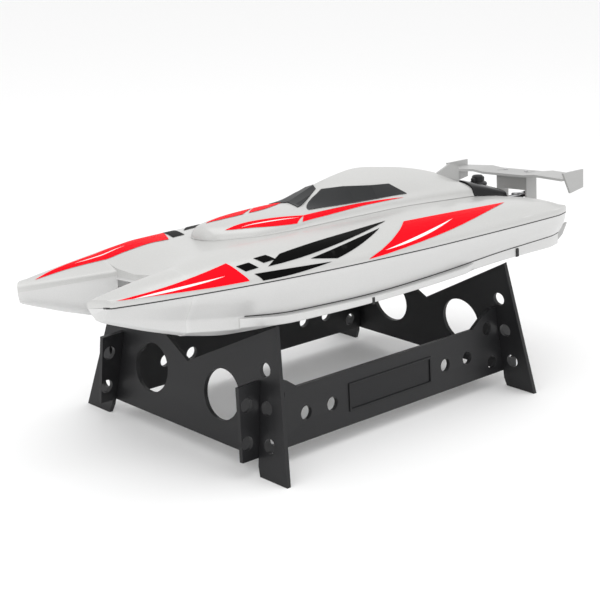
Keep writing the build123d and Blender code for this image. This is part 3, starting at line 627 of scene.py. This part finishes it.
# The notches are dark blocks that paint the shade inside the hull's steps.
notches = []
for side in (1, -1):
    for x, reach in NOTCHES:
        beam, _, _, top, foot, _, _ = smooth(HULL, x)
        outer = beam - STRAKE_INSET + reach
        rear, front, low, high = x - NOTCH_HALF, x + NOTCH_HALF, foot - 0.3, top - 0.8
        outline = [(rear, low), (front, low), (front, high), (rear, high)]
        notches.append(prism(f"notch {side} {x}", outline, side * (outer - NOTCH_DEPTH), side * outer, "y"))
attach(bevel(join("drain_notches", notches), 0.5, 2), painted_shade, "hull")

# -------------------------------------------- gloss black tail of the hatch
TAIL_FRONT, TAIL_REAR = -148.4, -181.4
TAIL_GAP = 0.4


def tail_half(x):
    """Port half of the tail's section: it gets wider and lower towards the stern."""
    aft = (TAIL_FRONT - x) / (TAIL_FRONT - TAIL_REAR)
    width = 13.8 + 6.0 * aft
    top = 35.0 - 9.2 * aft ** 1.2
    return rounded([
        (0, top), (width * 0.6, top - 0.8), (width, top - 4.5 + 1.5 * aft), (width + 1, 15),
    ], (4, 2.5), 5)


tail_cover = grid(
    "tail_cover", [resting_row(x, tail_half(x), TAIL_GAP) for x in stations(TAIL_FRONT, TAIL_REAR, 2.5)],
    cap_start=True, cap_end=True,
)
shade(fix_normals(tail_cover), 40)
attach(tail_cover, gloss_black, "hatch")
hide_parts("tail_panel_port", "tail_panel_starboard")

# -------------------------------------------- lock knob
KNOB_RADIUS = 6.6
GRIP_HALF = 1.7
# radius and height above the knob's base
KNOB_PROFILE = [
    (0, 0), (KNOB_RADIUS, 0), (7.2, 0.8), (7.2, 2.2), (6.4, 3.0), (4.6, 3.4), (4.4, 7.2), (3.4, 8.2),
    (0, 8.6),
]


def turned(name, profile, x, base, sides=40):
    """Round piece about an upright axis through (x, 0), from (radius, height above base) points."""
    rows = []
    for k in range(sides + 1):
        angle = 2 * math.pi * k / sides
        rows.append([(x + r * math.cos(angle), r * math.sin(angle), base + z) for r, z in profile])
    return fix_normals(grid(name, rows))


grip = [
    (KNOB_X + along * KNOB_RADIUS, across * GRIP_HALF)
    for along, across in ((-1, -1), (1, -1), (1, 1), (-1, 1))
]
knob = join("knob", [
    turned("knob_disc", KNOB_PROFILE, KNOB_X, KNOB_BASE),
    bevel(prism("knob_grip", grip, KNOB_BASE + 2.0, KNOB_BASE + 6.6), 0.8),
])
shade(knob, 40)
settle(knob, satin_black, "knob", "black_plastic", "lock_knob")

# -------------------------------------------- painted shapes
def arc(start, end, bulge, steps=10):
    """Points from start to just before end on a shallow arc that bulges sideways by bulge."""
    out = []
    for k in range(steps):
        t = k / steps
        along = [p + (q - p) * t for p, q in zip(start, end)]
        out.append((along[0], along[1] + 4 * bulge * t * (1 - t)))
    return out


def flame(tip, top, foot, upper=0.0, lower=0.0, back=0.0):
    """Flame with a sharp tip and a blunt end from top to foot; its three edges bulge as asked."""
    return arc(tip, top, upper) + arc(top, foot, back, 4) + arc(foot, tip, lower)


def streak(start, end, bend, width):
    """Slim bent leaf from start to end."""
    return arc(start, end, bend + width) + arc(end, start, bend)


def block(x, v, length=15.0, depth=5.0, lean=5.0):
    """Leaning block with its forward upper corner at (x, v)."""
    return [(x, v), (x - length + lean, v), (x - length, v - depth), (x - lean, v - depth)]


SLOPE = math.sqrt(0.5)
# stencils: how (u, v) lies in the boat frame well outside the surface, and which way the paint goes
STENCILS = {
    "above": (lambda u, v: (u, v, 100.0), (0, 0, -1)),
    "port": (lambda u, v: (u, 100 - SLOPE * v, 100 + SLOPE * v), (0, -SLOPE, -SLOPE)),
}


def film(name, outline, target, mat, body, stencil="above", lift=0.3, step=1.6):
    """Painted shape sprayed through a stencil onto the target: a skin just above its surface."""
    place, direction = STENCILS[stencil]
    bm = bmesh.new()
    face = bm.faces.new([bm.verts.new((p[0], p[1], 0)) for p in outline])
    bmesh.ops.triangulate(bm, faces=[face])
    for axis in (0, 1):
        values = [p[axis] for p in outline]
        for k in range(1, int((max(values) - min(values)) / step) + 1):
            point, normal = [0, 0, 0], [0, 0, 0]
            point[axis], normal[axis] = min(values) + k * step, 1
            bmesh.ops.bisect_plane(
                bm, geom=bm.verts[:] + bm.edges[:] + bm.faces[:], plane_co=point, plane_no=normal, dist=1e-5,
            )
    surface = BVHTree.FromObject(target, bpy.context.evaluated_depsgraph_get())
    way = (BOAT.to_3x3() @ Vector(direction)).normalized()
    missed = []
    for v in bm.verts:
        hit, normal, _, _ = surface.ray_cast(BOAT @ Vector(place(v.co.x, v.co.y)), way)
        if hit is None:
            missed.append(v)
        else:
            v.co = hit + (normal if normal.dot(way) < 0 else -normal) * lift * MM
    bmesh.ops.delete(bm, geom=missed, context="VERTS")
    mesh = bpy.data.meshes.new(name)
    bm.to_mesh(mesh)
    bm.free()
    obj = bpy.data.objects.new(name, mesh)
    bpy.context.scene.collection.objects.link(obj)
    for polygon in mesh.polygons:
        polygon.use_smooth = True
    return attach(obj, mat, body)


# name, outline, paint, stencil; port shapes are (x, distance up the slanted stencil), the others (x, y)
HULL_PAINT = [
    ("bow_flame_port", flame((215, -20), (135, -18), (125, -33), -2, -1), red, "port"),
    ("block_front_port", block(130, -22), black_film, "port"),
    ("block_rear_port", block(115, -20), black_film, "port"),
    ("spear_upper_port", flame((-10, -15), (95, -22), (108, -28), 0, -5), black_film, "port"),
    ("spear_middle_port", flame((5, -22), (75, -31), (55, -36), -1, -2), black_film, "port"),
    ("spear_lower_port", flame((60, -37), (120, -30), (115, -35), 0, -1), black_film, "port"),
    ("stern_flame_port", flame((-130, -23), (-20, -21), (30, -42), -1, -6, -3), red, "port"),
    ("bow_flame_starboard", flame((215, -35), (120, -20), (105, -45), -2, -1), red, "above"),
    ("block_starboard", block(115, -22, 20, 24, 10), black_film, "above"),
    ("spear_starboard", flame((-10, -50), (95, -35), (80, -50), 0, -3), black_film, "above"),
    ("stern_flame_starboard", flame((-130, -60), (-20, -57), (30, -70), -1, -4), red, "above"),
]
HATCH_PAINT = [
    ("wedge_port", flame((100, 13), (40, 24), (50, 28), -1, 3), red, "above"),
    ("stripe_port", flame((-60, 24), (40, 24), (45, 28), 1, 1), red, "above"),
    ("wedge_starboard", flame((105, 0), (75, 3), (55, -10), 1, -2), red, "above"),
    ("stripe_starboard", flame((25, -10), (70, 3), (55, -9), 4, -1), red, "above"),
]
STREAKS = [
    ("bow_streak_port", streak((205, -22), (140, -26), -1.5, 1.5), deck, "hull", "port"),
    ("stern_streak_port", streak((15, -40), (-60, -30), -3, 2), deck, "hull", "port"),
    ("bow_streak_starboard", streak((185, -35), (145, -34), 0, 1), deck, "hull", "above"),
    ("wedge_line_port", streak((90, 17), (45, 25), -0.5, 0.8), hatch, "hatch", "above"),
]
for name, outline, paint, stencil in HULL_PAINT:
    film(name, outline, deck, paint, "hull", stencil)
for name, outline, paint, stencil in HATCH_PAINT:
    film(name, outline, hatch, paint, "hatch", stencil)
for name, outline, target, body, stencil in STREAKS:
    film(name, outline, target, white_film, body, stencil, lift=0.4)

# -------------------------------------------- camera, floor and light
def add_light(name, place, target, size, power):
    """Soft rectangular lamp that faces the target."""
    lamp = bpy.data.lights.new(name, "AREA")
    lamp.shape = "RECTANGLE"
    lamp.size, lamp.size_y = size
    lamp.energy = power
    obj = bpy.data.objects.new(name, lamp)
    bpy.context.scene.collection.objects.link(obj)
    obj.location = place
    obj.rotation_euler = (Vector(target) - Vector(place)).to_track_quat("-Z", "Y").to_euler()
    return obj


yaw, pitch, tilt = math.radians(225.607), math.radians(16.550), math.radians(-0.5536)
forward = Vector((math.cos(pitch) * math.cos(yaw), math.cos(pitch) * math.sin(yaw), -math.sin(pitch)))
right = forward.cross(Vector((0, 0, 1))).normalized()
down = forward.cross(right)
right, down = (
    math.cos(tilt) * right + math.sin(tilt) * down,
    -math.sin(tilt) * right + math.cos(tilt) * down,
)
camera = bpy.data.objects.new("camera", bpy.data.cameras.new("camera"))
bpy.context.scene.collection.objects.link(camera)
pose = Matrix((right, -down, -forward)).transposed().to_4x4()
pose.translation = Vector((0.70934, 0.70890, 0.37206))
camera.matrix_world = pose
camera.data.lens = 88.5
camera.data.sensor_width = 36
bpy.context.scene.camera = camera
bpy.context.scene.view_settings.view_transform = "Standard"

floor_mesh = bpy.data.meshes.new("floor")
floor_mesh.from_pydata([(-9, -9, 0), (9, -9, 0), (9, 9, 0), (-9, 9, 0)], [], [(0, 1, 2, 3)])
floor = bpy.data.objects.new("floor", floor_mesh)
bpy.context.scene.collection.objects.link(floor)
floor_material = bpy.data.materials.new("floor")
floor_material.use_nodes = True
floor_shader = floor_material.node_tree.nodes["Principled BSDF"]
floor_shader.inputs["Base Color"].default_value = (0.93, 0.93, 0.93, 1)
floor_shader.inputs["Roughness"].default_value = 0.9
floor.data.materials.append(floor_material)

world = bpy.data.worlds.new("studio")
bpy.context.scene.world = world
world.use_nodes = True
world.node_tree.nodes["Background"].inputs["Color"].default_value = (1, 1, 1, 1)
world.node_tree.nodes["Background"].inputs["Strength"].default_value = 1.0
middle = (0, 0, 0.1)
add_light("top softbox", (0.1, 0.3, 1.5), middle, (1.8, 1.2), 7)
add_light("port softbox", (0.5, 1.6, 0.9), middle, (1.2, 0.8), 2.5)
add_light("bow softbox", (1.6, 0.2, 0.7), middle, (0.8, 0.8), 1.2)

# -------------------------------------------- looks of the pieces that keep their CAD shape
LOOKS = {
    "windshield": glazing, "side_window_port": glazing, "side_window_starboard": glazing,
    "dorsal_fin": wing_grey, "rear_wing": wing_grey, "end_plate_port": wing_grey,
    "end_plate_starboard": wing_grey, "wing_support": wing_grey, "wing_screws": steel,
    "trim_tab_port": wing_grey, "trim_tab_starboard": wing_grey, "motor_case": steel,
    "motor_endbell": satin_black, "motor_rotor": steel, "motor_mount": satin_black,
    "motor_screws": steel, "shaft_coupling": brass, "propeller_shaft": steel, "stuffing_tube": brass,
    "propeller": prop_red, "propeller_nut": brass, "rudder_bracket": satin_black, "rudder_pin": steel,
    "rudder_blade": satin_black, "tiller_arm": satin_black, "servo_horn": satin_black,
    "steering_servo": satin_black, "servo_shaft": steel, "servo_screws": steel, "pushrod": steel,
    "pushrod_grommet": rubber, "battery_tray": satin_black, "battery_pack": wrap_blue,
    "battery_strap": rubber, "receiver_box": satin_black, "power_switch": satin_black,
    "switch_slider": switch_red, "hatch_seal": rubber, "stand_front_plate": stand_black,
    "stand_rear_plate": stand_black, "stand_port_plate": stand_black,
    "stand_starboard_plate": stand_black,
}
for name, mat in LOOKS.items():
    dress(nodes[name], mat)
